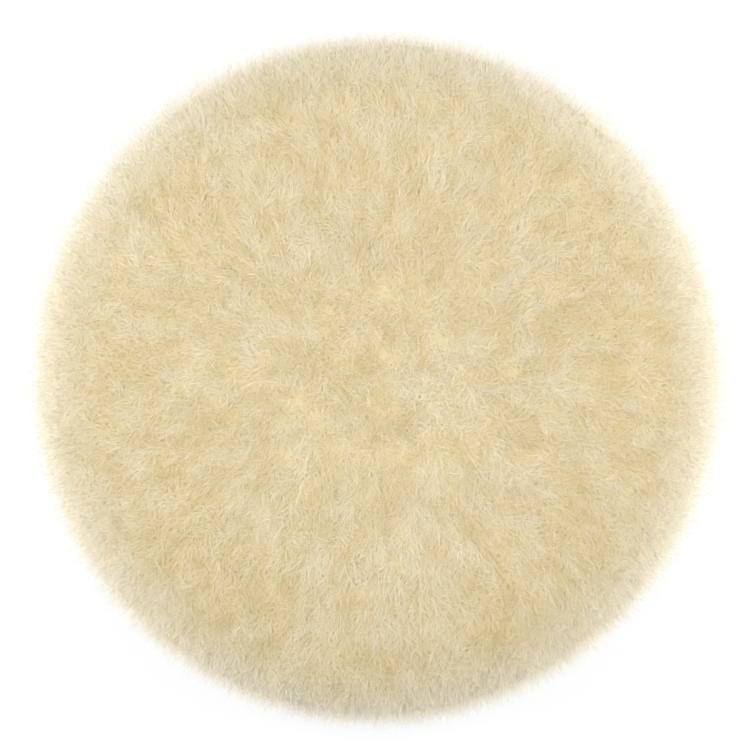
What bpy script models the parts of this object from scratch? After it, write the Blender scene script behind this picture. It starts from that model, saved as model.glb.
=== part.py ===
"""Lambswool polishing pad with a hook-and-loop back, built up in the layers it is sewn from.

Metres, +Z up. The origin is the centre of the loop face, on the plane that meets the machine's
hook plate. The wool points up. Everything but the seam's threads is turned about the Z axis.
"""

import math

import bmesh
import bpy

PAD_NAME = "polishing_pad"

# Overall sizes: the back, which suits the machine's plate, and how far the wool stands off the hide
BACK_DIAMETER = 0.1494
RIM_PILE = 0.018
CROWN_PILE = 0.0201

# Thickness of each layer, from the back to the hide
LOOP_GROUND = 0.0005
LOOP_GLUE = 0.0003
CANVAS = 0.0007
TAPE = 0.0005
FOAM = 0.011
FACE_GLUE = 0.0004
HIDE = 0.0018

# The hide's two bends, measured on its outer side, and the width of its turned-under edge
LOWER_BEND_RADIUS = 0.004
UPPER_BEND_RADIUS = 0.007
FLANGE_WIDTH = 0.019
FACE_GLUE_MARGIN = 0.003

# The tape and the seam round the back's edge
TAPE_LEG = 0.0052
THREAD_DIAMETER = 0.0005
STITCHES = 96
STITCH_RISE = 0.00015
SEAM_SET_BACK = 0.00015
BEND_MARGIN = 0.0006

# The wool's outer shape
WIDEST_LIFT = 0.0045
CROWN_SQUARENESS = 2.8
UNDERSIDE_HEIGHT = 0.0006
UNDERSIDE_REACH = 0.005

# Clearance between neighbouring layers, and the number of facets round every turned piece
GAP = 0.0003
FACETS = 64

# The loops are just long enough to keep the thread and the tape off the machine's plate
TAPE_LIFT = SEAM_SET_BACK + THREAD_DIAMETER + STITCH_RISE + GAP
LOOP_PILE = TAPE_LIFT + TAPE + GAP

# Heights that follow from the layers, each the lower face of its layer
LOOP_GROUND_Z = LOOP_PILE
LOOP_GLUE_Z = LOOP_GROUND_Z + LOOP_GROUND + GAP
CANVAS_Z = LOOP_GLUE_Z + LOOP_GLUE + GAP
BACK_GLUE_Z = CANVAS_Z + CANVAS + GAP
FOAM_Z = BACK_GLUE_Z + TAPE + GAP
FOAM_TOP_Z = FOAM_Z + FOAM
FACE_GLUE_Z = FOAM_TOP_Z + GAP
HIDE_TOP_Z = FACE_GLUE_Z + FACE_GLUE + GAP + HIDE

# Radii that follow from the back: its cloth inside the tape, the seam along the tape's middle,
# and the hide, which turns up just outside the seam
BACK_RADIUS = BACK_DIAMETER / 2
CLOTH_RADIUS = BACK_RADIUS - TAPE - GAP
TAPE_INNER_RADIUS = BACK_RADIUS - TAPE_LEG
LOOP_FACE_RADIUS = TAPE_INNER_RADIUS - GAP
SEAM_RADIUS = BACK_RADIUS - (TAPE + TAPE_LEG) / 2
GROOVE_HALF_WIDTH = THREAD_DIAMETER / 2 + GAP
HIDE_RADIUS = SEAM_RADIUS + GROOVE_HALF_WIDTH + BEND_MARGIN + LOWER_BEND_RADIUS
FLANGE_OPENING_RADIUS = HIDE_RADIUS - FLANGE_WIDTH

# The axes about which the hide's bends are turned, as a radius and a height
LOWER_BEND = (HIDE_RADIUS - LOWER_BEND_RADIUS, FOAM_Z + LOWER_BEND_RADIUS)
UPPER_BEND = (HIDE_RADIUS - UPPER_BEND_RADIUS, HIDE_TOP_Z - UPPER_BEND_RADIUS)

# The wool's outline follows from the hide's
WOOL_RADIUS = HIDE_RADIUS + RIM_PILE
WOOL_TOP_Z = HIDE_TOP_Z + CROWN_PILE
WIDEST_Z = (LOWER_BEND[1] + UPPER_BEND[1]) / 2 + WIDEST_LIFT
UNDERSIDE_RADIUS = HIDE_RADIUS + UNDERSIDE_REACH


def clear_scene():
    for old in list(bpy.data.objects):
        bpy.data.objects.remove(old, do_unlink=True)


def make_material(name, colour, roughness, sheen=0.0):
    material = bpy.data.materials.new(name)
    material.use_nodes = True
    shader = material.node_tree.nodes["Principled BSDF"]
    shader.inputs["Base Color"].default_value = (*colour, 1.0)
    shader.inputs["Roughness"].default_value = roughness
    shader.inputs["Metallic"].default_value = 0.0
    shader.inputs["Sheen Weight"].default_value = sheen
    material.diffuse_color = (*colour, 1.0)
    return material


def arc(centre, radius, start, end, steps):
    """Points along an arc in the profile's plane, angles in degrees from straight outwards."""
    points = []
    for step in range(steps + 1):
        angle = math.radians(start + (end - start) * step / steps)
        points.append((centre[0] + radius * math.cos(angle), centre[1] + radius * math.sin(angle)))
    return points


def place_piece(name, shape):
    """Adds one piece of the pad, hung from the pad's own empty."""
    pad = bpy.data.objects.get(PAD_NAME)
    if pad is None:
        pad = bpy.data.objects.new(PAD_NAME, None)
        bpy.context.collection.objects.link(pad)
    piece = bpy.data.objects.new(name, shape)
    bpy.context.collection.objects.link(piece)
    piece.parent = pad
    return piece


def finish_mesh(name, shape, material, crease=math.radians(40)):
    bmesh.ops.recalc_face_normals(shape, faces=shape.faces)
    mesh = bpy.data.meshes.new(name)
    shape.to_mesh(mesh)
    shape.free()
    mesh.materials.append(material)
    mesh.shade_smooth()
    mesh.set_sharp_from_angle(angle=crease)
    return place_piece(name, mesh)


def turned(name, profile, material):
    """Spins a closed outline of (radius, height) points a full turn about the Z axis."""
    shape = bmesh.new()
    corners = [shape.verts.new((radius, 0.0, height)) for radius, height in profile]
    outline = [shape.edges.new((corners[i - 1], corners[i])) for i in range(len(corners))]
    bmesh.ops.spin(
        shape,
        geom=corners + outline,
        cent=(0, 0, 0),
        axis=(0, 0, 1),
        angle=math.tau,
        steps=FACETS,
        use_merge=True,
        use_duplicate=False,
    )
    bmesh.ops.remove_doubles(shape, verts=shape.verts, dist=0.000001)
    on_axis = [e for e in shape.edges if all(math.hypot(v.co.x, v.co.y) < 0.000001 for v in e.verts)]
    bmesh.ops.delete(shape, geom=on_axis, context="EDGES")
    return finish_mesh(name, shape, material)


def layer(name, radius, bottom, thickness, material):
    """A plain round layer."""
    top = bottom + thickness
    return turned(name, [(0, bottom), (radius, bottom), (radius, top), (0, top)], material)


def stitch_ring(name, rest_height, rise, material):
    """One thread round the seam: it lies flat over each stitch and is drawn in at each hole.

    rest_height is the height of the thread's centre over a stitch. rise is how far it is drawn
    in at a hole, up on the outer thread and down on the inner one.
    """
    path = bpy.data.curves.new(name, "CURVE")
    path.dimensions = "3D"
    path.bevel_depth = THREAD_DIAMETER / 2
    path.bevel_resolution = 0
    stations = 2 * STITCHES
    thread = path.splines.new("POLY")
    thread.points.add(stations - 1)
    thread.use_cyclic_u = True
    for station in range(stations):
        angle = math.tau * station / stations
        height = rest_height + (rise if station % 2 else 0.0)
        place = (SEAM_RADIUS * math.cos(angle), SEAM_RADIUS * math.sin(angle), height, 1.0)
        thread.points[station].co = place
    path.materials.append(material)
    return place_piece(name, path)


def make_loop_fabric(material):
    """Thick over the face that grips, and only its woven ground where the tape folds over it."""
    ground_top = LOOP_GROUND_Z + LOOP_GROUND
    outline = [
        (0, 0),
        (LOOP_FACE_RADIUS, 0),
        (LOOP_FACE_RADIUS, LOOP_GROUND_Z),
        (CLOTH_RADIUS, LOOP_GROUND_Z),
        (CLOTH_RADIUS, ground_top),
        (0, ground_top),
    ]
    return turned("loop_fabric", outline, material)


def make_edge_binding(material):
    """A tape folded into a channel: one leg under the loop fabric's edge, one over the canvas."""
    bottom = TAPE_LIFT
    top = BACK_GLUE_Z + TAPE
    inside = BACK_RADIUS - TAPE
    outline = [
        (TAPE_INNER_RADIUS, bottom),
        (BACK_RADIUS, bottom),
        (BACK_RADIUS, top),
        (TAPE_INNER_RADIUS, top),
        (TAPE_INNER_RADIUS, top - TAPE),
        (inside, top - TAPE),
        (inside, bottom + TAPE),
        (TAPE_INNER_RADIUS, bottom + TAPE),
    ]
    return turned("edge_binding", outline, material)


def make_hide(material):
    """The skin: flat over the foam, down round its shoulder and back in under its edge."""
    outer = [(FLANGE_OPENING_RADIUS, FOAM_Z)]
    outer += arc(LOWER_BEND, LOWER_BEND_RADIUS, -90, 0, 3)
    outer += arc(UPPER_BEND, UPPER_BEND_RADIUS, 0, 90, 4)
    outer += [(0, HIDE_TOP_Z)]
    inner = [(0, HIDE_TOP_Z - HIDE)]
    inner += arc(UPPER_BEND, UPPER_BEND_RADIUS - HIDE, 90, 0, 4)
    inner += arc(LOWER_BEND, LOWER_BEND_RADIUS - HIDE, 0, -90, 3)
    inner += [(FLANGE_OPENING_RADIUS, FOAM_Z + HIDE)]
    return turned("sheepskin_hide", outer + inner, material)


def make_foam(material):
    """A disc with a rounded edge, stepped up over the turned-under hide.

    A groove leaves room for the inner thread, which the soft foam is pressed down on.
    """
    over_flange = FOAM_Z + HIDE + GAP
    groove_top = over_flange + THREAD_DIAMETER + STITCH_RISE + GAP
    step_radius = FLANGE_OPENING_RADIUS - GAP
    lower_radius = LOWER_BEND_RADIUS - HIDE - GAP
    shoulder_radius = UPPER_BEND_RADIUS - HIDE - GAP
    shoulder = (UPPER_BEND[0], FOAM_TOP_Z - shoulder_radius)
    outline = [
        (0, FOAM_Z),
        (step_radius, FOAM_Z),
        (step_radius, over_flange),
        (SEAM_RADIUS - GROOVE_HALF_WIDTH, over_flange),
        (SEAM_RADIUS - GROOVE_HALF_WIDTH, groove_top),
        (SEAM_RADIUS + GROOVE_HALF_WIDTH, groove_top),
        (SEAM_RADIUS + GROOVE_HALF_WIDTH, over_flange),
    ]
    outline += arc(LOWER_BEND, lower_radius, -90, 0, 2)
    outline += arc(shoulder, shoulder_radius, 0, 90, 3)
    outline += [(0, FOAM_TOP_Z)]
    return turned("foam_core", outline, material)


def crown_curve(steps):
    """The wool's upper outline, from just above the widest point to the top of the crown."""
    points = []
    for step in range(1, steps):
        angle = math.radians(90) * step / steps
        radius = WOOL_RADIUS * math.cos(angle) ** (2 / CROWN_SQUARENESS)
        rise = (WOOL_TOP_Z - WIDEST_Z) * math.sin(angle) ** (2 / CROWN_SQUARENESS)
        points.append((radius, WIDEST_Z + rise))
    return points + [(0, WOOL_TOP_Z)]


def underside_curve(steps):
    """The wool's drooping lower outline, from its lowest point out to the widest point."""
    points = []
    for step in range(steps + 1):
        angle = math.radians(90) * step / steps
        radius = UNDERSIDE_RADIUS + (WOOL_RADIUS - UNDERSIDE_RADIUS) * math.sin(angle)
        height = WIDEST_Z - (WIDEST_Z - UNDERSIDE_HEIGHT) * math.cos(angle)
        points.append((radius, height))
    return points


def make_wool(material):
    """The shorn pile as one soft solid, thickest on the crown and drooping round the rim.

    Its lip closes in on the tape, half way up the back's edge.
    """
    lip = (BACK_RADIUS + 1.5 * GAP, (TAPE_LIFT + BACK_GLUE_Z + TAPE) / 2)
    root_radius = LOWER_BEND_RADIUS + GAP
    lip_angle = -math.degrees(math.acos((lip[0] - LOWER_BEND[0]) / root_radius))
    outline = [lip] + underside_curve(4) + crown_curve(8) + [(0, HIDE_TOP_Z + GAP)]
    outline += arc(UPPER_BEND, UPPER_BEND_RADIUS + GAP, 90, 0, 4)
    outline += arc(LOWER_BEND, root_radius, 0, lip_angle, 2)
    return turned("wool_pile", outline, material)


def build():
    clear_scene()

    wool = make_material("lambswool", (0.72, 0.60, 0.37), 0.9, sheen=0.4)
    leather = make_material("tanned_hide", (0.66, 0.55, 0.38), 0.75)
    foam = make_material("foam", (0.78, 0.74, 0.62), 0.9)
    glue = make_material("glue_film", (0.80, 0.76, 0.62), 0.35)
    canvas = make_material("canvas", (0.70, 0.66, 0.55), 0.85)
    loops = make_material("loop_fabric", (0.80, 0.79, 0.75), 0.85, sheen=0.3)
    tape = make_material("binding_tape", (0.74, 0.68, 0.54), 0.8)
    thread = make_material("thread", (0.82, 0.78, 0.68), 0.6)

    make_loop_fabric(loops)
    layer("loop_glue_film", CLOTH_RADIUS, LOOP_GLUE_Z, LOOP_GLUE, glue)
    layer("backing_canvas", CLOTH_RADIUS, CANVAS_Z, CANVAS, canvas)
    layer("back_glue_film", LOOP_FACE_RADIUS, BACK_GLUE_Z, TAPE, glue.copy())
    make_edge_binding(tape)
    make_foam(foam)
    layer("face_glue_film", UPPER_BEND[0] - FACE_GLUE_MARGIN, FACE_GLUE_Z, FACE_GLUE, glue.copy())
    make_hide(leather)
    make_wool(wool)

    # The outer thread lies under the tape, and the inner thread on the turned-under hide
    outer_rest = TAPE_LIFT - GAP - THREAD_DIAMETER / 2 - STITCH_RISE
    inner_rest = FOAM_Z + HIDE + GAP + THREAD_DIAMETER / 2 + STITCH_RISE
    stitch_ring("needle_thread", outer_rest, STITCH_RISE, thread)
    stitch_ring("bobbin_thread", inner_rest, -STITCH_RISE, thread.copy())


build()
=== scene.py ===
"""Looks of the lambswool polishing pad: the wool, its hidden layers and its sewn back.

The wool is grown as locks of fibre over the outline of the CAD's soft solid. Every place on it is
given as a chart point: the crown is the chart's centre, and a point's distance from it is the
distance walked outwards over the wool's surface.
"""

import math

import bmesh
import bpy
import numpy as np
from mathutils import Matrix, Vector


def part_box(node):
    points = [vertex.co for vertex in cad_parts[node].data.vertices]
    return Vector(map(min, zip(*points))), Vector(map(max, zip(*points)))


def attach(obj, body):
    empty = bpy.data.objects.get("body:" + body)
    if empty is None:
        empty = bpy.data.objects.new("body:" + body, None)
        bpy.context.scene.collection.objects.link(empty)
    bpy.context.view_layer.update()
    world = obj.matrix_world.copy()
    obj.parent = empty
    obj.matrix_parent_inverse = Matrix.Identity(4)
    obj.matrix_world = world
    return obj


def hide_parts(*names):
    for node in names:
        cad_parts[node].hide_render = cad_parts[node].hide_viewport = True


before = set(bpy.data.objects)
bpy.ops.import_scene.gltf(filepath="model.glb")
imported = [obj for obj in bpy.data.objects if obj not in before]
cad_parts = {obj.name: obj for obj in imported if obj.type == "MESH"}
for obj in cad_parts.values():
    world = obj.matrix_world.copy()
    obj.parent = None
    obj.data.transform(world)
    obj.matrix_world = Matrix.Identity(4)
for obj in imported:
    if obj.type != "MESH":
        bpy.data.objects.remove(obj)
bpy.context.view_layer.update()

MM = 0.001

# The wool's outline, as the CAD draws it
WIDEST_Z = 15.0 * MM
CROWN_SQUARENESS = 2.8
UNDERSIDE_RADIUS = 82.0 * MM
LIP_RADIUS = 75.6 * MM
LIP_Z = 3.0 * MM

# Locks: spacing over the surface, how far the fibres of one scatter, and the fibres themselves
LOCK_PITCH_OUT = 3.8 * MM
LOCK_PITCH_ROUND = 2.3 * MM
LOCK_SCATTER = 0.54
LOCK_PIECES = 16
FIBRES_PER_LOCK = 64
FIBRE_LENGTH = (2.8 * MM, 6.4 * MM)
FIBRE_WIDTH = 0.080 * MM
FIBRE_RINGS = 5

# Loose fibres over the locks, and the fringe of finer ones that stands off the rim
LOOSE_FIBRES = 70000
LOOSE_LENGTH = (1.0 * MM, 3.2 * MM)
LOOSE_LIFT = 0.18 * MM
LOOSE_WIDTH = 0.06 * MM
LOOSE_PIECES = 3
FRINGE_FIBRES = 150000
FRINGE_LENGTH = (1.5 * MM, 5.0 * MM)
FRINGE_REACH = 2.2 * MM
FRINGE_WIDTH = 0.035 * MM
FRINGE_PIECES = 6
LOOSE_RINGS = 4

# How deep the fibres are rooted, how deep the matted bed lies under the outline, and how far the
# dense wool stops short of the outline where it rolls over the rim
CORE_DEPTH = 1.3 * MM
BED_DEPTH = 0.55 * MM
RIM_DRAWN_IN = 1.9 * MM

# Where the wool changes: it lies any way at the crown and outwards further on, has a deeper band
# before the rim, and is painted paler, as painted light, where it rolls over the rim
UNSETTLED_TO = 8 * MM
SETTLED_FROM = 34 * MM
BAND_RADIUS = 68 * MM
BAND_WIDTH = 12 * MM
RIM_FROM = 78 * MM
RIM_TO = 93 * MM

# Shades of a fibre, from 0 for the deepest to 1 for the palest, and how many steps they come in
BODY_SHADE = 0.39
# the fringe's base tone: it keeps the fringe a little deeper than the rim wool, as painted shade within
# its cloud of fibres
FRINGE_SHADE = 0.46
# painted light: how much paler the wool is painted where it rolls over the rim
RIM_PAINTED_LIGHT = 0.47
SHADES = 64

# The loop fabric on the back
LOOP_FACE_RADIUS = 69.2 * MM
LOOP_GROUND_Z = 1.9 * MM
LOOP_MAT_Z = 1.2 * MM
LOOPS = 28000
LOOP_RINGS = 7
LOOP_WIDTH = 0.10 * MM
LOOP_PIECES = 3

# The seam and the tape round the edge, and how fine the cloths and threads are
SEAM_RADIUS = 71.85 * MM
CANVAS_PITCH = 0.8 * MM
TAPE_PITCH = math.tau * SEAM_RADIUS / 700
THREAD_TWIST = math.tau * SEAM_RADIUS / 900

# The floor, and how close to it a fibre may lie
FLOOR_GAP = 0.1 * MM
FLOOR_GREY = (0.15, 0.15, 0.15, 1)
FLOOR_GLOW_COLOUR = (0.97, 0.98, 1.0, 1)
FLOOR_GLOW = 0.815

# Light from all round, and from a soft box at either side
WORLD_LIGHT = 0.835
SOFTBOX_OUT = 0.8
SOFTBOX_FORWARD = 0.12
SOFTBOX_UP = 0.40
SOFTBOX_SIZE = 0.6
SOFTBOX_WATTS = 8.5
SOFTBOX_COLOUR = (1.0, 0.95, 0.91)

# The camera looks straight down, and its picture is VIEW_WIDTH across at the wool's widest height
CAMERA_PLACE = (-0.45 * MM, 1.15 * MM, 1.5)
VIEW_WIDTH = 0.2094
SENSOR_MM = 36

rng = np.random.default_rng(7)


# ---------------------------------------------------------------- arithmetic on arrays


def eased(value, start, end):
    """0 up to start, 1 from end on, and a smooth rise between them."""
    share = np.clip((value - start) / (end - start), 0, 1)
    return share * share * (3 - 2 * share)


def heading(angle):
    """The level direction (..., 2) of an angle."""
    return np.stack([np.cos(angle), np.sin(angle)], axis=-1)


def unit(vectors):
    """Vectors (..., 3) brought to length 1."""
    return vectors / np.linalg.norm(vectors, axis=-1, keepdims=True).clip(1e-12)


def walked_to(chart):
    """How far chart points (..., 2) are from the crown."""
    return np.hypot(chart[..., 0], chart[..., 1])


def smooth_noise(points, size, seed):
    """Smooth value noise from -1 to 1 at 2D points, with features of about the given size."""
    cells = 256
    table = np.random.default_rng(seed).uniform(-1, 1, (cells, cells))
    place = points / size
    base = np.floor(place).astype(int)
    part = eased(place - base, 0, 1)
    x, y = base[..., 0] % cells, base[..., 1] % cells
    next_x, next_y = (x + 1) % cells, (y + 1) % cells
    near = table[x, y] * (1 - part[..., 0]) + table[next_x, y] * part[..., 0]
    far = table[x, next_y] * (1 - part[..., 0]) + table[next_x, next_y] * part[..., 0]
    return near * (1 - part[..., 1]) + far * part[..., 1]


# ---------------------------------------------------------------- the wool's surface


def meridian():
    """The wool's outline from the crown outwards and under: distance walked, radius, height."""
    low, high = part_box("wool_pile")
    widest = (high[0] - low[0]) / 2
    turn = np.radians(np.linspace(90, 0, 400))
    power = 2 / CROWN_SQUARENESS
    radius = widest * np.cos(turn).clip(0) ** power
    height = WIDEST_Z + (high[2] - WIDEST_Z) * np.sin(turn).clip(0) ** power
    under = np.radians(np.linspace(0, 90, 80))[1:]
    radius = np.append(radius, UNDERSIDE_RADIUS + (widest - UNDERSIDE_RADIUS) * np.cos(under))
    height = np.append(height, WIDEST_Z - (WIDEST_Z - low[2]) * np.sin(under))
    radius = np.append(radius, np.linspace(UNDERSIDE_RADIUS, LIP_RADIUS, 12)[1:])
    height = np.append(height, np.linspace(low[2], LIP_Z, 12)[1:])
    walked = np.append(0, np.cumsum(np.hypot(np.diff(radius), np.diff(height))))
    even = np.linspace(0, walked[-1], 900)
    return even, np.interp(even, walked, radius), np.interp(even, walked, height)


WALKED, RADIUS, HEIGHT = meridian()
SLOPE_R = np.gradient(RADIUS, WALKED)
SLOPE_Z = np.gradient(HEIGHT, WALKED)
WIDEST = WALKED[np.argmax(RADIUS)]


def on_surface(chart, lift):
    """World places and outward normals of chart points (..., 2), raised by lift."""
    walked = walked_to(chart)
    way = chart / walked.clip(1e-9)[..., None]
    radius = np.interp(walked, WALKED, RADIUS)
    height = np.interp(walked, WALKED, HEIGHT)
    along_r = np.interp(walked, WALKED, SLOPE_R)
    along_z = np.interp(walked, WALKED, SLOPE_Z)
    length = np.hypot(along_r, along_z)
    normal_r, normal_z = -along_z / length, along_r / length
    normal = np.stack([way[..., 0] * normal_r, way[..., 1] * normal_r, normal_z], axis=-1)
    place = np.stack([way[..., 0] * radius, way[..., 1] * radius, height], axis=-1)
    return place + normal * lift[..., None], normal


def scattered(pitch_out, pitch_round, end):
    """Chart points spread evenly over the wool as far as end, in staggered and jittered rings."""
    found = []
    for walked in np.arange(pitch_out / 2, end, pitch_out):
        radius = max(np.interp(walked, WALKED, RADIUS), pitch_round / 2)
        count = max(int(round(math.tau * radius / pitch_round)), 3)
        turn = (np.arange(count) + rng.uniform(-0.45, 0.45, count)) / count + rng.random()
        away = walked + rng.uniform(-0.5, 0.5, count) * pitch_out
        found.append(heading(turn * math.tau) * away[:, None])
    return np.concatenate(found)


def lay(chart, spread):
    """The angle the wool lies at, and how settled it is from 0 to 1, at chart points.

    It lies outwards, with slow swirls, and any way at all at the crown.
    """
    outwards = np.arctan2(chart[:, 1], chart[:, 0])
    swirl = 0.35 * smooth_noise(chart, 24 * MM, seed=1) + 0.22 * smooth_noise(chart, 9 * MM, seed=2)
    strays = math.pi * smooth_noise(chart, 20 * MM, seed=3) + 0.9 * smooth_noise(chart, 7 * MM, seed=4)
    settled = eased(walked_to(chart), UNSETTLED_TO, SETTLED_FROM)
    way = heading(outwards) * settled[:, None] + heading(strays) * 0.8 * (1 - settled)[:, None]
    return np.arctan2(way[:, 1], way[:, 0]) + swirl + rng.normal(0, spread, len(chart)), settled


# ---------------------------------------------------------------- meshes


def add_mesh(name, vertices, faces, normals, uv):
    """A mesh object from arrays of places (n, 3), quads (m, 4), normals (n, 3) and UVs (n, 2)."""
    mesh = bpy.data.meshes.new(name)
    mesh.vertices.add(len(vertices))
    mesh.vertices.foreach_set("co", vertices.astype(np.float32).ravel())
    mesh.loops.add(faces.size)
    mesh.loops.foreach_set("vertex_index", faces.astype(np.int32).ravel())
    mesh.polygons.add(len(faces))
    mesh.polygons.foreach_set("loop_start", np.arange(0, faces.size, faces.shape[1], dtype=np.int32))
    mesh.update(calc_edges=True)
    mesh.shade_smooth()
    layer = mesh.uv_layers.new(name="OFBake")
    layer.uv.foreach_set("vector", uv[faces.ravel()].astype(np.float32).ravel())
    mesh.normals_split_custom_set_from_vertices(normals.astype(np.float32))
    return add_object(name, mesh)


def add_object(name, data):
    """A new object in the scene, of a mesh, a light or a camera."""
    made = bpy.data.objects.new(name, data)
    bpy.context.collection.objects.link(made)
    return made


def paint(piece, label, values):
    """Stores a value at each vertex, for the material to read."""
    layer = piece.data.attributes.new(label, "FLOAT", "POINT")
    layer.data.foreach_set("value", values.astype(np.float32).ravel())


def ribbons(name, places, facing, width, shade, along):
    """Flat strands as one mesh, their normals splayed so that each is shaded a little rounded.

    places and facing are (n, rings, 3), width is (n, rings), shade is (n,) and along is (rings,).
    In the UV map, every strand lies a little inside the strip of its own shade.
    """
    splay = 0.12
    inset = 0.15
    count, rings = places.shape[:2]
    run = unit(np.gradient(places, axis=1))
    across = unit(np.cross(run, facing))
    front = np.cross(across, run)
    left = places - across * width[..., None] / 2
    right = places + across * width[..., None] / 2
    vertices = np.stack([left, right], axis=2).reshape(-1, 3)
    normals = unit(np.stack([front - splay * across, front + splay * across], axis=2).reshape(-1, 3))
    start = np.arange(count)[:, None] * rings * 2 + np.arange(rings - 1)[None, :] * 2
    faces = np.stack([start, start + 1, start + 3, start + 2], axis=-1).reshape(-1, 4)

    step = np.floor(shade.clip(0, 0.999) * SHADES)[:, None, None]
    u = np.broadcast_to((step + [inset, 1 - inset]) / SHADES, (count, rings, 2))
    v = np.broadcast_to(along[None, :, None], (count, rings, 2))
    uv = np.stack([u, v], axis=-1).reshape(-1, 2)
    piece = add_mesh(name, off_the_floor(vertices), faces, normals, uv)
    paint(piece, "shade", np.broadcast_to((step + 0.5) / SHADES, (count, rings, 2)))
    paint(piece, "along", v)
    return piece


def ribbon_pieces(name, shares, places, facing, width, shade, along):
    """Strands as numbered pieces, one for each share of them."""
    return [
        ribbons(f"{name}_{number:02d}", places[mine], facing[mine], width[mine], shade[mine], along)
        for number, mine in enumerate(shares, start=1)
    ]


def even_shares(count, parts):
    """Slices that share count strands out between parts."""
    return [slice(part * count // parts, (part + 1) * count // parts) for part in range(parts)]


def at_height(level, z):
    """Level places or directions (n, 2) as ones in space, all at the height z."""
    return np.concatenate([level, np.full((len(level), 1), z)], axis=1)


def circles(profile, around):
    """Rings of points (n, around, 3) about the pad's axis, one for each radius and height."""
    ring = heading(np.linspace(0, math.tau, around, endpoint=False))
    return np.stack([at_height(ring * radius, z) for radius, z in profile])


def closed_form(name, start, rings, end):
    """A closed mesh through rings of points (n, around, 3), shut by a point at each end."""
    count, around = rings.shape[:2]
    here = np.arange(around) + 1
    after = np.roll(here, -1)
    last = count * around + 1
    faces = [(0, int(a), int(b)) for a, b in zip(here, after)]
    for row in range(count - 1):
        near, far = row * around, (row + 1) * around
        faces += np.stack([here + near, here + far, after + far, after + near], 1).tolist()
    row = (count - 1) * around
    faces += [(last, int(b), int(a)) for a, b in zip(here + row, after + row)]
    mesh = bpy.data.meshes.new(name)
    mesh.from_pydata(np.concatenate([[start], rings.reshape(-1, 3), [end]]).tolist(), [], faces)
    mesh.shade_smooth()
    return add_object(name, mesh)


# ---------------------------------------------------------------- the wool


def rim_share(walked):
    """0 over the crown, rising to 1 where the wool rolls over the rim; the rim's painted light and the
    fringe's stand-off follow it.
    """
    return np.where(walked > WIDEST, 1, eased(np.interp(walked, WALKED, RADIUS), RIM_FROM, RIM_TO))


def drawn_in(walked):
    """How far under the outline the dense wool ends: it thins out into a soft fringe at the rim."""
    stops = [WIDEST - 22 * MM, WIDEST - 3 * MM, WIDEST + 7 * MM, WALKED[-1] - 4 * MM]
    return np.interp(walked, stops, [0, RIM_DRAWN_IN, RIM_DRAWN_IN, 0])


def off_the_floor(places):
    """Fibres that would hang through the floor lie on it instead."""
    places[..., 2] = np.maximum(places[..., 2], FLOOR_GAP)
    return places


def chart_step(roots, lean, drift, angle):
    """Chart points reached from each root by going lean along its angle and drift to its side."""
    walked = walked_to(roots)
    stretch = walked / np.interp(walked, WALKED, RADIUS).clip(1e-6)
    radial = roots / walked.clip(1e-9)[:, None]
    ahead, beside = heading(angle), heading(angle + math.pi / 2)
    step = ahead[:, None, :] * lean[..., None] + beside[:, None, :] * drift[..., None]
    outward = (step * radial[:, None, :]).sum(-1)[..., None] * radial[:, None, :]
    chart = roots[:, None, :] + outward + (step - outward) * stretch[:, None, None]
    end = WALKED[-1] - 0.2 * MM
    return chart * np.minimum(1, end / walked_to(chart).clip(1e-9))[..., None]


def tipped(normals, places, spread):
    """Turns each fibre's flat side a little off the surface's normal, about the fibre."""
    roll = rng.normal(0, spread, len(places))[:, None, None]
    beside = unit(np.cross(normals, np.gradient(places, axis=1)))
    return normals * np.cos(roll) + beside * np.sin(roll)


def relief(chart):
    """How far the locks swell the surface, slowly and by lock."""
    slow = 0.30 * MM * smooth_noise(chart, 9 * MM, seed=5)
    return slow + 0.16 * MM * smooth_noise(chart, 3.6 * MM, seed=8)


def streaks(chart, long, wide, seed):
    """Noise from -1 to 1 in streaks that run outwards, and evenly over the crown.

    The streaks are as wide all over, because there are more of them in each belt further out.
    """
    belt = 18 * MM
    walked = walked_to(chart)
    girth = np.maximum(np.floor(np.interp(walked, WALKED, RADIUS) / belt), 1) * belt
    turn = np.arctan2(chart[..., 1], chart[..., 0]) + 0.12 * smooth_noise(chart, 22 * MM, seed + 50)
    drawn = np.stack([walked / long, turn * girth / wide + 37 * girth / MM], axis=-1)
    even = smooth_noise(chart, (long + wide) / 2, seed + 1)
    outwards = np.clip((walked - 12 * MM) / (16 * MM), 0, 1)
    return smooth_noise(drawn, 1.0, seed) * outwards + even * (1 - outwards)


def wool_tone(chart):
    """How pale the wool is: slow clouds, a deeper band before the rim, and the locks' streaks."""
    radius = np.interp(walked_to(chart), WALKED, RADIUS)
    clouds = 0.05 * smooth_noise(chart, 17 * MM, seed=6)
    band = -0.06 * np.exp(-(((radius - BAND_RADIUS) / BAND_WIDTH) ** 2))
    broad = 0.17 * streaks(chart, 7.0 * MM, 1.7 * MM, seed=21)
    fine = 0.12 * streaks(chart, 3.4 * MM, 1.0 * MM, seed=31)
    return clouds + band + broad + fine


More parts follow.
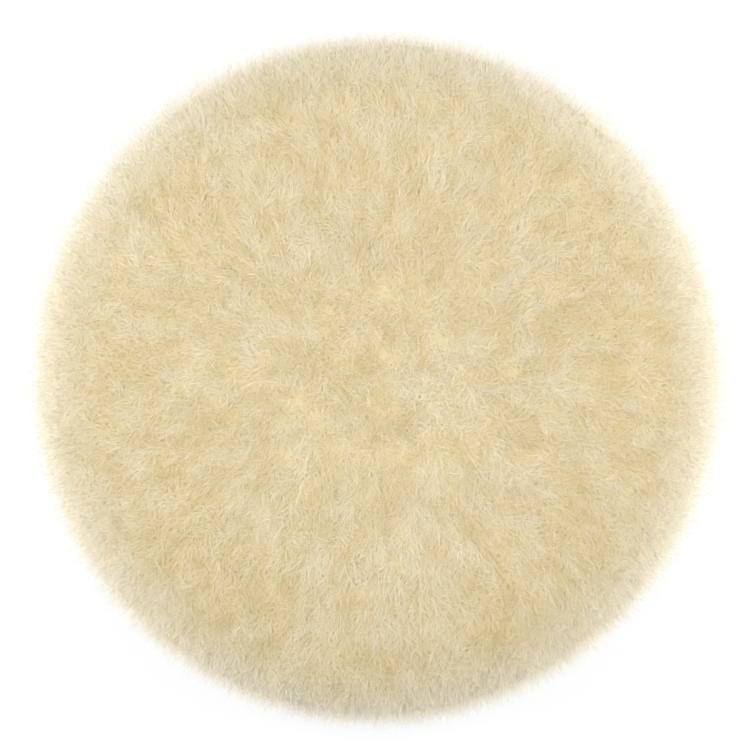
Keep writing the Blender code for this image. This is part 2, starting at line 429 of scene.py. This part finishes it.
def grow_locks():
    """Locks of fibres that start apart, lie the lock's way and draw together at their tips."""
    centres = scattered(LOCK_PITCH_OUT, LOCK_PITCH_ROUND, WALKED[-1] - 1.0 * MM)
    way, _ = lay(centres, 0.40)
    count = len(centres)
    own_tone = rng.normal(0, 0.06, count)
    own_curl = rng.normal(0, 0.35, count)

    lock = np.repeat(np.arange(count), FIBRES_PER_LOCK)
    fibres = len(lock)
    edge = rng.normal(0, LOCK_SCATTER, fibres)
    side = edge * LOCK_PITCH_ROUND
    back = rng.normal(0, LOCK_SCATTER, fibres) * LOCK_PITCH_OUT
    roots = chart_step(centres[lock], back[:, None], side[:, None], way[lock])[:, 0]
    _, settled = lay(roots, 0)
    rim = rim_share(walked_to(roots))
    angle = way[lock] + rng.normal(0, 1, fibres) * (1.5 - 0.92 * settled)

    along = np.linspace(0, 1, FIBRE_RINGS)
    reach = rng.uniform(*FIBRE_LENGTH, fibres) * (0.7 + 0.3 * settled)
    lean = reach[:, None] * (along**1.2 - 0.5 * (1 - settled[:, None]))
    drift = -side[:, None] * 0.35 * along**1.3
    drift = drift + (reach * (own_curl[lock] + rng.normal(0, 0.3, fibres)))[:, None] * along**2 / 2
    drift = drift + rng.normal(0, 0.08, (fibres, FIBRE_RINGS)) * MM
    chart = chart_step(roots, lean, drift, angle)

    tip_height = (rng.normal(0, 0.16, fibres) + own_tone[lock] * 2.5 - 0.3 * edge**2) * MM
    rise = -CORE_DEPTH * (1 - along) ** 1.6 + tip_height[:, None]
    rise = rise + rng.normal(0, 0.06, (fibres, FIBRE_RINGS)) * MM - drawn_in(walked_to(roots))[:, None]
    places, normals = on_surface(chart, rise + relief(chart))

    thin = np.clip((1 - along) * 3, 0, 1) ** 0.7 * 0.85 + 0.15
    width = FIBRE_WIDTH * rng.uniform(0.6, 1.4, fibres)[:, None] * thin
    middle = chart[:, FIBRE_RINGS // 2]
    # painted shade and light: fibres at a lock's edges, which lie low between the locks, are painted
    # deeper, and the wool is painted paler where it rolls over the rim
    shade = BODY_SHADE + own_tone[lock] - 0.12 * edge**2 + wool_tone(middle) + RIM_PAINTED_LIGHT * rim
    shade = shade + rng.normal(0, 0.13, fibres) * (1.4 - 0.5 * settled) * (1 - 0.4 * rim)
    facing = tipped(normals, places, 0.08)

    turn = np.arctan2(roots[:, 1], roots[:, 0]) / math.tau % 1
    sector = np.floor(turn * LOCK_PIECES).astype(int)
    shares = [sector == part for part in range(LOCK_PIECES)]
    return ribbon_pieces("wool_locks", shares, places, facing, width, shade, along)


def spread_roots(count, start, end):
    """Chart points spread by area between two distances walked."""
    grid = np.linspace(start, end, 400)
    total = np.cumsum(np.interp(grid, WALKED, RADIUS))
    walked = np.interp(rng.random(count) * total[-1], total, grid)
    turn = rng.uniform(0, math.tau, count)
    return heading(turn) * walked[:, None]


def grow_loose(name, roots, reach, lift, width, spread, shade, parts):
    """Single fibres, curling off the surface and back towards it, shared out between pieces."""
    count = len(roots)
    angle, _ = lay(roots, spread)
    along = np.linspace(0, 1, LOOSE_RINGS)
    curl = rng.normal(0, 0.6, count)[:, None] * along
    lean = reach[:, None] * along
    drift = reach[:, None] * np.sin(curl) * along + rng.normal(0, 0.06, (count, LOOSE_RINGS)) * MM
    chart = chart_step(roots, lean, drift, angle)
    root_depth = -CORE_DEPTH * 0.7
    rise = root_depth + (lift - root_depth)[:, None] * np.sin(along * 1.9)
    rise = rise - drawn_in(walked_to(roots))[:, None]
    places, normals = on_surface(chart, rise + relief(chart))
    taper = width * rng.uniform(0.6, 1.4, count)[:, None] * np.linspace(1, 0.35, LOOSE_RINGS)
    facing = normals + rng.normal(0, 0.12, (count, 1, 3))
    return ribbon_pieces(name, even_shares(count, parts), places, facing, taper, shade, along)


def grow_surface_fibres():
    """Short single fibres that blur the locks."""
    roots = spread_roots(LOOSE_FIBRES, 0, WALKED[-1] * 0.95)
    rim = rim_share(walked_to(roots))
    reach = rng.uniform(*LOOSE_LENGTH, LOOSE_FIBRES)
    lift = rng.normal(0, LOOSE_LIFT, LOOSE_FIBRES)
    # painted light: the loose fibres are painted paler over the rim, as the locks are
    shade = BODY_SHADE + wool_tone(roots) + rng.normal(0, 0.10, LOOSE_FIBRES) + RIM_PAINTED_LIGHT * rim
    return grow_loose("wool_loose", roots, reach, lift, LOOSE_WIDTH, 0.9, shade, LOOSE_PIECES)


def grow_fringe():
    """Fine fibres that stand further off the wool the nearer they are to the rim."""
    roots = spread_roots(FRINGE_FIBRES, WIDEST - 24 * MM, WIDEST + 16 * MM)
    rim = rim_share(walked_to(roots))
    reach = rng.uniform(*FRINGE_LENGTH, FRINGE_FIBRES)
    lift = FRINGE_REACH * rng.rayleigh(1.0, FRINGE_FIBRES).clip(0, 3) * (0.10 + 0.90 * rim)
    # painted shade and light: the fringe is kept a little deeper than the rim wool, as shade within its
    # cloud of fibres, and is painted paler towards the rim
    shade = FRINGE_SHADE + 0.34 * rim + rng.normal(0, 0.07, FRINGE_FIBRES)
    return grow_loose("wool_fringe", roots, reach, lift, FRINGE_WIDTH, 1.5, shade, FRINGE_PIECES)


def make_bed():
    """The matted wool that the locks lie on, as one closed form round the hide."""
    rings, around = 150, 300
    walked = np.linspace(0, WALKED[-1], rings)[1:]
    chart = heading(np.linspace(0, math.tau, around, endpoint=False)) * walked[:, None, None]
    matted = 0.08 * MM * smooth_noise(chart, 3 * MM, seed=9)
    matted = matted + 0.06 * MM * smooth_noise(chart, 1.4 * MM, seed=10)
    lift = matted + relief(chart) - BED_DEPTH - drawn_in(walked)[:, None]
    fade = np.clip((WALKED[-1] - walked) / (5 * MM), 0, 1)[:, None]
    outer, _ = on_surface(chart, lift * fade - 0.3 * MM)

    # The hollow that the hide fills: from the lip, round the hide's edge and over its top
    clear = 0.4 * MM
    hide_radius, _, hide_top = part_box("sheepskin_hide")[1]
    inner = circles([
        (LIP_RADIUS - 0.2 * MM, 5.6 * MM),
        (hide_radius + clear, 9.1 * MM),
        (hide_radius + clear, 12.0 * MM),
        (hide_radius - 7 * MM, hide_top + clear),
    ], around)
    crown = on_surface(np.zeros((1, 2)), np.full(1, -1.0 * MM))[0][0]
    return closed_form("wool_bed", crown, np.concatenate([outer, inner]), (0, 0, hide_top + clear))


# ---------------------------------------------------------------- the loop fabric


def make_loop_ground():
    """The knitted cloth, thin where the tape holds it and matted under the loops."""
    radius, _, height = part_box("loop_fabric")[1]
    top = [(r, height) for r in np.linspace(2 * MM, radius, 20)]
    edge = [(radius, LOOP_GROUND_Z), (LOOP_FACE_RADIUS + 0.2 * MM, LOOP_GROUND_Z)]
    under = [(r, LOOP_MAT_Z) for r in np.linspace(LOOP_FACE_RADIUS, 1 * MM, 90)]
    rings = circles(top + edge + under, around=240)
    matted = rings[len(top) + len(edge):]
    matted[..., 2] += 0.12 * MM * smooth_noise(matted[..., :2] + 1, 2.2 * MM, seed=12)
    return closed_form("loop_ground", (0, 0, height), rings, (0, 0, LOOP_MAT_Z))


def grow_loops():
    """The fine nylon loops that the hooks grip, standing down from the knitted cloth."""
    radius = (LOOP_FACE_RADIUS - 0.8 * MM) * np.sqrt(rng.random(LOOPS))
    turn = rng.uniform(0, math.tau, LOOPS)
    foot = at_height(heading(turn) * radius[:, None], LOOP_MAT_Z)
    angle = rng.uniform(0, math.tau, LOOPS)
    ahead = at_height(heading(angle), 0)
    beside = at_height(heading(angle + math.pi / 2), 0)
    span = rng.uniform(0.5, 1.5, (LOOPS, 1)) * MM
    deep = rng.uniform(0.45, 1.0, (LOOPS, 1)) * (LOOP_MAT_Z - FLOOR_GAP)
    tilt = rng.normal(0, 0.25, (LOOPS, 1)) * MM

    along = np.linspace(0, 1, LOOP_RINGS)
    arch = np.sin(math.pi * along)
    run = span * (along - 0.16 * np.sin(math.tau * along))
    places = foot[:, None] + ahead[:, None] * run[..., None] + beside[:, None] * (tilt * arch)[..., None]
    places[..., 2] -= deep * arch**0.7
    facing = beside * rng.normal(0, 0.6, (LOOPS, 1)) - np.array([0, 0, 1.0])
    facing = np.broadcast_to(facing[:, None], places.shape)
    width = np.full((LOOPS, LOOP_RINGS), LOOP_WIDTH)
    shade = 0.5 + rng.normal(0, 0.2, LOOPS)
    return ribbon_pieces("loop_pile", even_shares(LOOPS, LOOP_PIECES), places, facing, width, shade, along)


# ---------------------------------------------------------------- materials


def new_material(name, roughness=0.8):
    """A material, its node tree and its shader."""
    material = bpy.data.materials.new(name)
    material.use_nodes = True
    shader = material.node_tree.nodes["Principled BSDF"]
    shader.inputs["Roughness"].default_value = roughness
    return material, material.node_tree, shader


def add_node(tree, kind, inputs, **settings):
    """Adds a shader node. inputs maps a socket to a value, or to the output that feeds it."""
    node = tree.nodes.new("ShaderNode" + kind)
    for name, value in settings.items():
        setattr(node, name, value)
    for socket, value in inputs.items():
        if isinstance(value, bpy.types.NodeSocket):
            tree.links.new(value, node.inputs[socket])
        else:
            node.inputs[socket].default_value = value
    return node


def blend(tree, amount, low, high, middle=None):
    """A colour between two, or through a third, by an amount from 0 to 1."""
    ramp = add_node(tree, "ValToRGB", {"Fac": amount})
    ramp.color_ramp.elements[0].color = (*low, 1)
    ramp.color_ramp.elements[1].color = (*high, 1)
    if middle:
        ramp.color_ramp.elements.new(0.5).color = (*middle, 1)
    return ramp.outputs["Color"]


def maths(tree, operation, first, second=0.0):
    """The output of a sum worked out in the shader."""
    return add_node(tree, "Math", {0: first, 1: second}, operation=operation).outputs["Value"]


def places_on(tree):
    """Where on its object each shaded point is."""
    return add_node(tree, "TexCoord", {}).outputs["Object"]


def noise(tree, size, detail=2.0):
    """Noise from 0 to 1 with features of about the given size."""
    inputs = {"Vector": places_on(tree), "Scale": 1 / size, "Detail": detail}
    return add_node(tree, "TexNoise", inputs).outputs["Fac"]


def raise_surface(tree, shader, height, depth):
    """Makes the surface look raised where the height is 1, by about the given depth."""
    bump = add_node(tree, "Bump", {"Height": height, "Distance": depth, "Strength": 0.7})
    tree.links.new(bump.outputs["Normal"], shader.inputs["Normal"])


def round_the_ring(tree):
    """Distances along and across what runs round the pad's edge."""
    place = add_node(tree, "SeparateXYZ", {"Vector": places_on(tree)})
    turn = maths(tree, "ARCTAN2", place.outputs["Y"], place.outputs["X"])
    x2 = maths(tree, "MULTIPLY", place.outputs["X"], place.outputs["X"])
    y2 = maths(tree, "MULTIPLY", place.outputs["Y"], place.outputs["Y"])
    radius = maths(tree, "SQRT", maths(tree, "ADD", x2, y2))
    return maths(tree, "MULTIPLY", turn, SEAM_RADIUS), maths(tree, "ADD", radius, place.outputs["Z"])


def ridges(tree, distance, pitch):
    """Rounded ridges from 0 to 1, one for each pitch."""
    wave = maths(tree, "SINE", maths(tree, "MULTIPLY", distance, math.pi / pitch))
    return maths(tree, "ABSOLUTE", wave)


def weave(tree, along, across, pitch):
    """The height of a plain weave from 0 to 1: threads go over and under one another."""
    grid = add_node(tree, "CombineXYZ", {"X": along, "Y": across, "Z": pitch / 2})
    over = add_node(tree, "TexChecker", {"Vector": grid.outputs["Vector"], "Scale": 1 / pitch})
    threads = {"A": ridges(tree, along, pitch), "B": ridges(tree, across, pitch)}
    chosen = add_node(tree, "Mix", {"Factor": over.outputs["Fac"], **threads}, data_type="FLOAT")
    return chosen.outputs["Result"]


def fibre_material(name, dark, pale, root_tint, middle=None):
    """Fibres: each has its own shade, and is tinted towards its root.

    Sockets 6 and 7 of a colour mix are its two colours, and output 2 is the result.
    """
    material, tree, shader = new_material(name)
    shade = add_node(tree, "Attribute", {}, attribute_name="shade").outputs["Fac"]
    along = add_node(tree, "Attribute", {}, attribute_name="along").outputs["Fac"]
    depth = add_node(tree, "MapRange", {
        "Value": along, "From Min": 0.3, "From Max": 0.9, "To Min": 1.0, "To Max": 0.0,
    })
    tinted = add_node(tree, "Mix", {
        "Factor": depth.outputs["Result"], 6: blend(tree, shade, dark, pale, middle), 7: (*root_tint, 1),
    }, data_type="RGBA", blend_type="MULTIPLY")
    tree.links.new(tinted.outputs[2], shader.inputs["Base Color"])
    shader.inputs["Specular IOR Level"].default_value = 0.3
    shader.inputs["Sheen Weight"].default_value = 0.15
    shader.inputs["Sheen Roughness"].default_value = 0.5
    return material


def mottled_material(name, dark, pale, size, grain, depth, roughness):
    """A colour that varies slowly, with a fine grain: matted wool, suede, or a film of glue."""
    material, tree, shader = new_material(name, roughness)
    slow, fine = noise(tree, size, 3.0), noise(tree, grain, 4.0)
    both = maths(tree, "ADD", maths(tree, "MULTIPLY", slow, 0.5), maths(tree, "MULTIPLY", fine, 0.5))
    spread = add_node(tree, "MapRange", {"Value": both, "From Min": 0.35, "From Max": 0.65})
    tree.links.new(blend(tree, spread.outputs["Result"], dark, pale), shader.inputs["Base Color"])
    rough = add_node(tree, "MapRange", {
        "Value": slow, "From Min": 0.3, "From Max": 0.7,
        "To Min": roughness - 0.1, "To Max": roughness + 0.05,
    })
    tree.links.new(rough.outputs["Result"], shader.inputs["Roughness"])
    raise_surface(tree, shader, both, depth)
    return material


def foam_material():
    """Open cells: pale walls round hollows that are painted darker, as painted shade."""
    material, tree, shader = new_material("foam_cells", 0.9)
    cell_size = 0.9 * MM
    cells = add_node(tree, "TexVoronoi", {"Vector": places_on(tree), "Scale": 1 / cell_size})
    depth = cells.outputs["Distance"]
    # painted shade: the colour darkens towards each cell's hollow
    tree.links.new(blend(tree, depth, (0.52, 0.49, 0.39), (0.84, 0.81, 0.70)), shader.inputs["Base Color"])
    raise_surface(tree, shader, depth, 0.3 * MM)
    return material


def woven_material(name, dark, pale, pitch, ringed):
    """Plain-woven cloth, its threads square to the pad or running round its edge."""
    material, tree, shader = new_material(name)
    if ringed:
        along, across = round_the_ring(tree)
    else:
        place = add_node(tree, "SeparateXYZ", {"Vector": places_on(tree)})
        along, across = place.outputs["X"], place.outputs["Y"]
    height = weave(tree, along, across, pitch)
    uneven = maths(tree, "MULTIPLY", noise(tree, 5 * MM), 0.5)
    # painted shade: the threads are painted paler on their crests and darker where they dip under one
    # another, with an uneven tone on top
    painted_shade_and_tone = maths(tree, "ADD", maths(tree, "MULTIPLY", height, 0.6), uneven)
    tree.links.new(blend(tree, painted_shade_and_tone, dark, pale), shader.inputs["Base Color"])
    shader.inputs["Sheen Weight"].default_value = 0.1
    raise_surface(tree, shader, height, 0.2 * MM)
    return material


def thread_material(name, dark, pale):
    """Sewing thread: plies that twist round one another."""
    material, tree, shader = new_material(name, 0.55)
    along, across = round_the_ring(tree)
    twist = ridges(tree, maths(tree, "ADD", along, across), THREAD_TWIST)
    # painted shade: the thread is painted darker in the grooves between its plies and paler on their
    # crests
    tree.links.new(blend(tree, twist, dark, pale), shader.inputs["Base Color"])
    shader.inputs["Sheen Weight"].default_value = 0.1
    raise_surface(tree, shader, twist, 0.1 * MM)
    return material


def dress_cad_nodes():
    """Gives every CAD node that shows as it is the material that it is made of."""
    film = mottled_material(
        "glue_film", dark=(0.66, 0.61, 0.46), pale=(0.84, 0.81, 0.68),
        size=6 * MM, grain=1.2 * MM, depth=0.1 * MM, roughness=0.4,
    )
    suede = mottled_material(
        "tanned_hide", dark=(0.54, 0.43, 0.28), pale=(0.74, 0.63, 0.45),
        size=9 * MM, grain=0.7 * MM, depth=0.15 * MM, roughness=0.85,
    )
    canvas = woven_material(
        "canvas", dark=(0.50, 0.46, 0.36), pale=(0.78, 0.74, 0.62), pitch=CANVAS_PITCH, ringed=False
    )
    tape = woven_material(
        "binding_tape", dark=(0.58, 0.51, 0.37), pale=(0.86, 0.80, 0.65), pitch=TAPE_PITCH, ringed=True
    )
    looks = {
        "sheepskin_hide": suede,
        "face_glue_film": film,
        "back_glue_film": film,
        "loop_glue_film": film,
        "foam_core": foam_material(),
        "backing_canvas": canvas,
        "edge_binding": tape,
        "needle_thread": thread_material("outer_thread", dark=(0.62, 0.57, 0.45), pale=(0.92, 0.88, 0.77)),
        "bobbin_thread": thread_material("inner_thread", dark=(0.58, 0.53, 0.42), pale=(0.88, 0.84, 0.74)),
    }
    for node, material in looks.items():
        bpy.data.objects[node].material_slots[0].material = material


# ---------------------------------------------------------------- floor, light and camera


def make_world():
    """Even light from all round."""
    world = bpy.data.worlds.new("studio")
    bpy.context.scene.world = world
    world.use_nodes = True
    background = world.node_tree.nodes["Background"]
    background.inputs["Color"].default_value = (1, 1, 1, 1)
    background.inputs["Strength"].default_value = WORLD_LIGHT


def make_floor():
    """A pale floor that glows a little, so that it shows as white."""
    data = bpy.data.meshes.new("floor")
    shape = bmesh.new()
    bmesh.ops.create_grid(shape, x_segments=1, y_segments=1, size=8.0)
    shape.to_mesh(data)
    shape.free()
    floor = add_object("floor", data)
    material, _, shader = new_material("floor", 0.9)
    shader.inputs["Base Color"].default_value = FLOOR_GREY
    shader.inputs["Emission Color"].default_value = FLOOR_GLOW_COLOUR
    shader.inputs["Emission Strength"].default_value = FLOOR_GLOW
    data.materials.append(material)


def make_softboxes():
    """A soft box at either side."""
    for name, side in (("left_softbox", -1), ("right_softbox", 1)):
        light = bpy.data.lights.new(name, "AREA")
        light.energy = SOFTBOX_WATTS
        light.color = SOFTBOX_COLOUR
        light.size = SOFTBOX_SIZE
        lamp = add_object(name, light)
        lamp.location = (side * SOFTBOX_OUT, SOFTBOX_FORWARD, SOFTBOX_UP)
        lamp.rotation_euler = lamp.location.to_track_quat("Z", "Y").to_euler()


def make_camera():
    """The camera of the front view."""
    data = bpy.data.cameras.new("camera")
    data.sensor_width = SENSOR_MM
    data.lens = SENSOR_MM * (CAMERA_PLACE[2] - WIDEST_Z) / VIEW_WIDTH
    camera = add_object("camera", data)
    camera.location = CAMERA_PLACE
    bpy.context.scene.camera = camera


# ---------------------------------------------------------------- the pad and its stage


bpy.context.scene.view_settings.view_transform = "Standard"

# The palest colour is greyed: it shows mostly on the rim and in the fringe, and the grey there is painted
# shade of the fuzzy edge
wool_fibre = fibre_material(
    "lambswool_fibre", dark=(0.625, 0.515, 0.255), pale=(0.82, 0.81, 0.75),
    root_tint=(0.97, 0.94, 0.84), middle=(0.755, 0.69, 0.505),
)
wool_bed = mottled_material(
    "lambswool_bed", dark=(0.61, 0.52, 0.30), pale=(0.73, 0.655, 0.45),
    size=5 * MM, grain=1.0 * MM, depth=0.2 * MM, roughness=0.95,
)
nylon = fibre_material(
    "loop_nylon", dark=(0.62, 0.61, 0.57), pale=(0.90, 0.89, 0.85), root_tint=(0.92, 0.92, 0.92)
)
knit = mottled_material(
    "loop_knit", dark=(0.52, 0.51, 0.47), pale=(0.72, 0.71, 0.67),
    size=3 * MM, grain=0.6 * MM, depth=0.2 * MM, roughness=0.9,
)

bed = make_bed()
bed.data.materials.append(wool_bed)
wool = grow_locks() + grow_surface_fibres() + grow_fringe()
for piece in wool:
    piece.data.materials.append(wool_fibre)
for piece in [bed] + wool:
    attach(piece, "root")
    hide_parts("wool_pile")

ground = make_loop_ground()
ground.data.materials.append(knit)
loops = grow_loops()
for piece in loops:
    piece.data.materials.append(nylon)
for piece in [ground] + loops:
    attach(piece, "root")
    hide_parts("loop_fabric")

dress_cad_nodes()
make_world()
make_floor()
make_softboxes()
make_camera()
